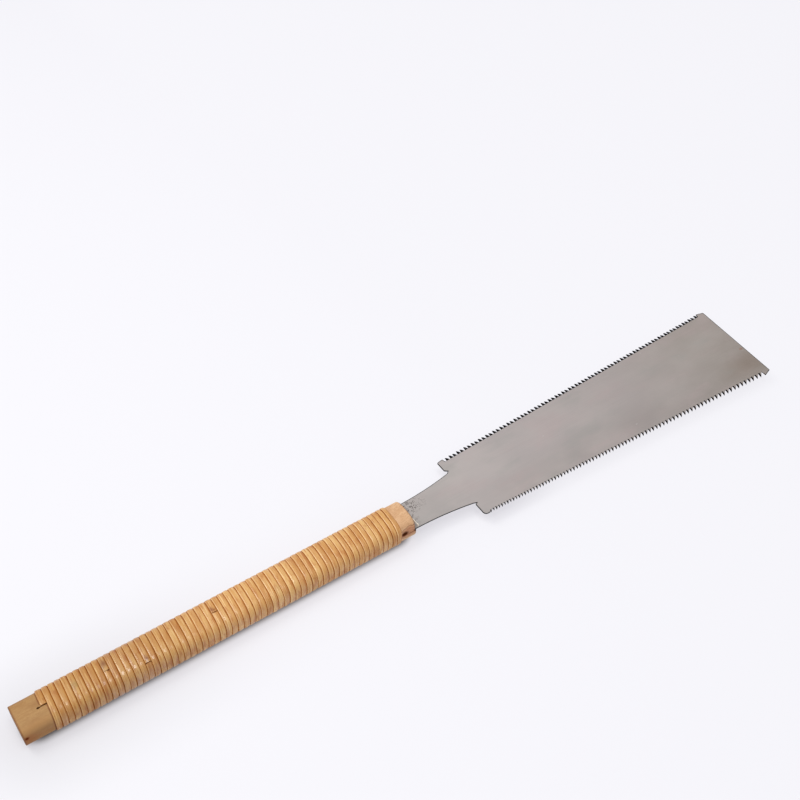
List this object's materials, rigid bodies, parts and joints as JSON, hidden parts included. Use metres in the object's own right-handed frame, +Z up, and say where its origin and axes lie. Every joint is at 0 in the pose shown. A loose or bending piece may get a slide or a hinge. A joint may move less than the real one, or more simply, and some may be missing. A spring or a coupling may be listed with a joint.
{
  "type": "japanese pull saw",
  "caption": "Double-edged pull saw: a thin flared steel blade with crosscut teeth on one edge and rip teeth on the other, set in a straight oval wooden handle bound in rattan.",
  "frame": {"origin": "on the surface that the saw lies on, under the middle of its length and width", "axes": "+X from the butt of the handle to the toe of the blade, +Y towards the crosscut teeth, +Z up from the blade's flat side"},
  "size_m": [0.5922, 0.0793, 0.021],
  "materials": {
    "blade_steel": "fine lengthwise grind, dark hardened teeth",
    "core_wood": "bare, sanded",
    "rattan": "glossy cane skin",
    "glue": "dried wood glue"
  },
  "bodies": {
    "root": {"blade": "blade_steel", "handle_upper_half": "core_wood", "handle_lower_half": "core_wood", "mouth_glue": "glue", "rattan_strip_1": "rattan", "rattan_strip_2": "rattan", "rattan_strip_3": "rattan", "rattan_strip_4": "rattan", "rattan_strip_5": "rattan"}
  },
  "joints": []
}
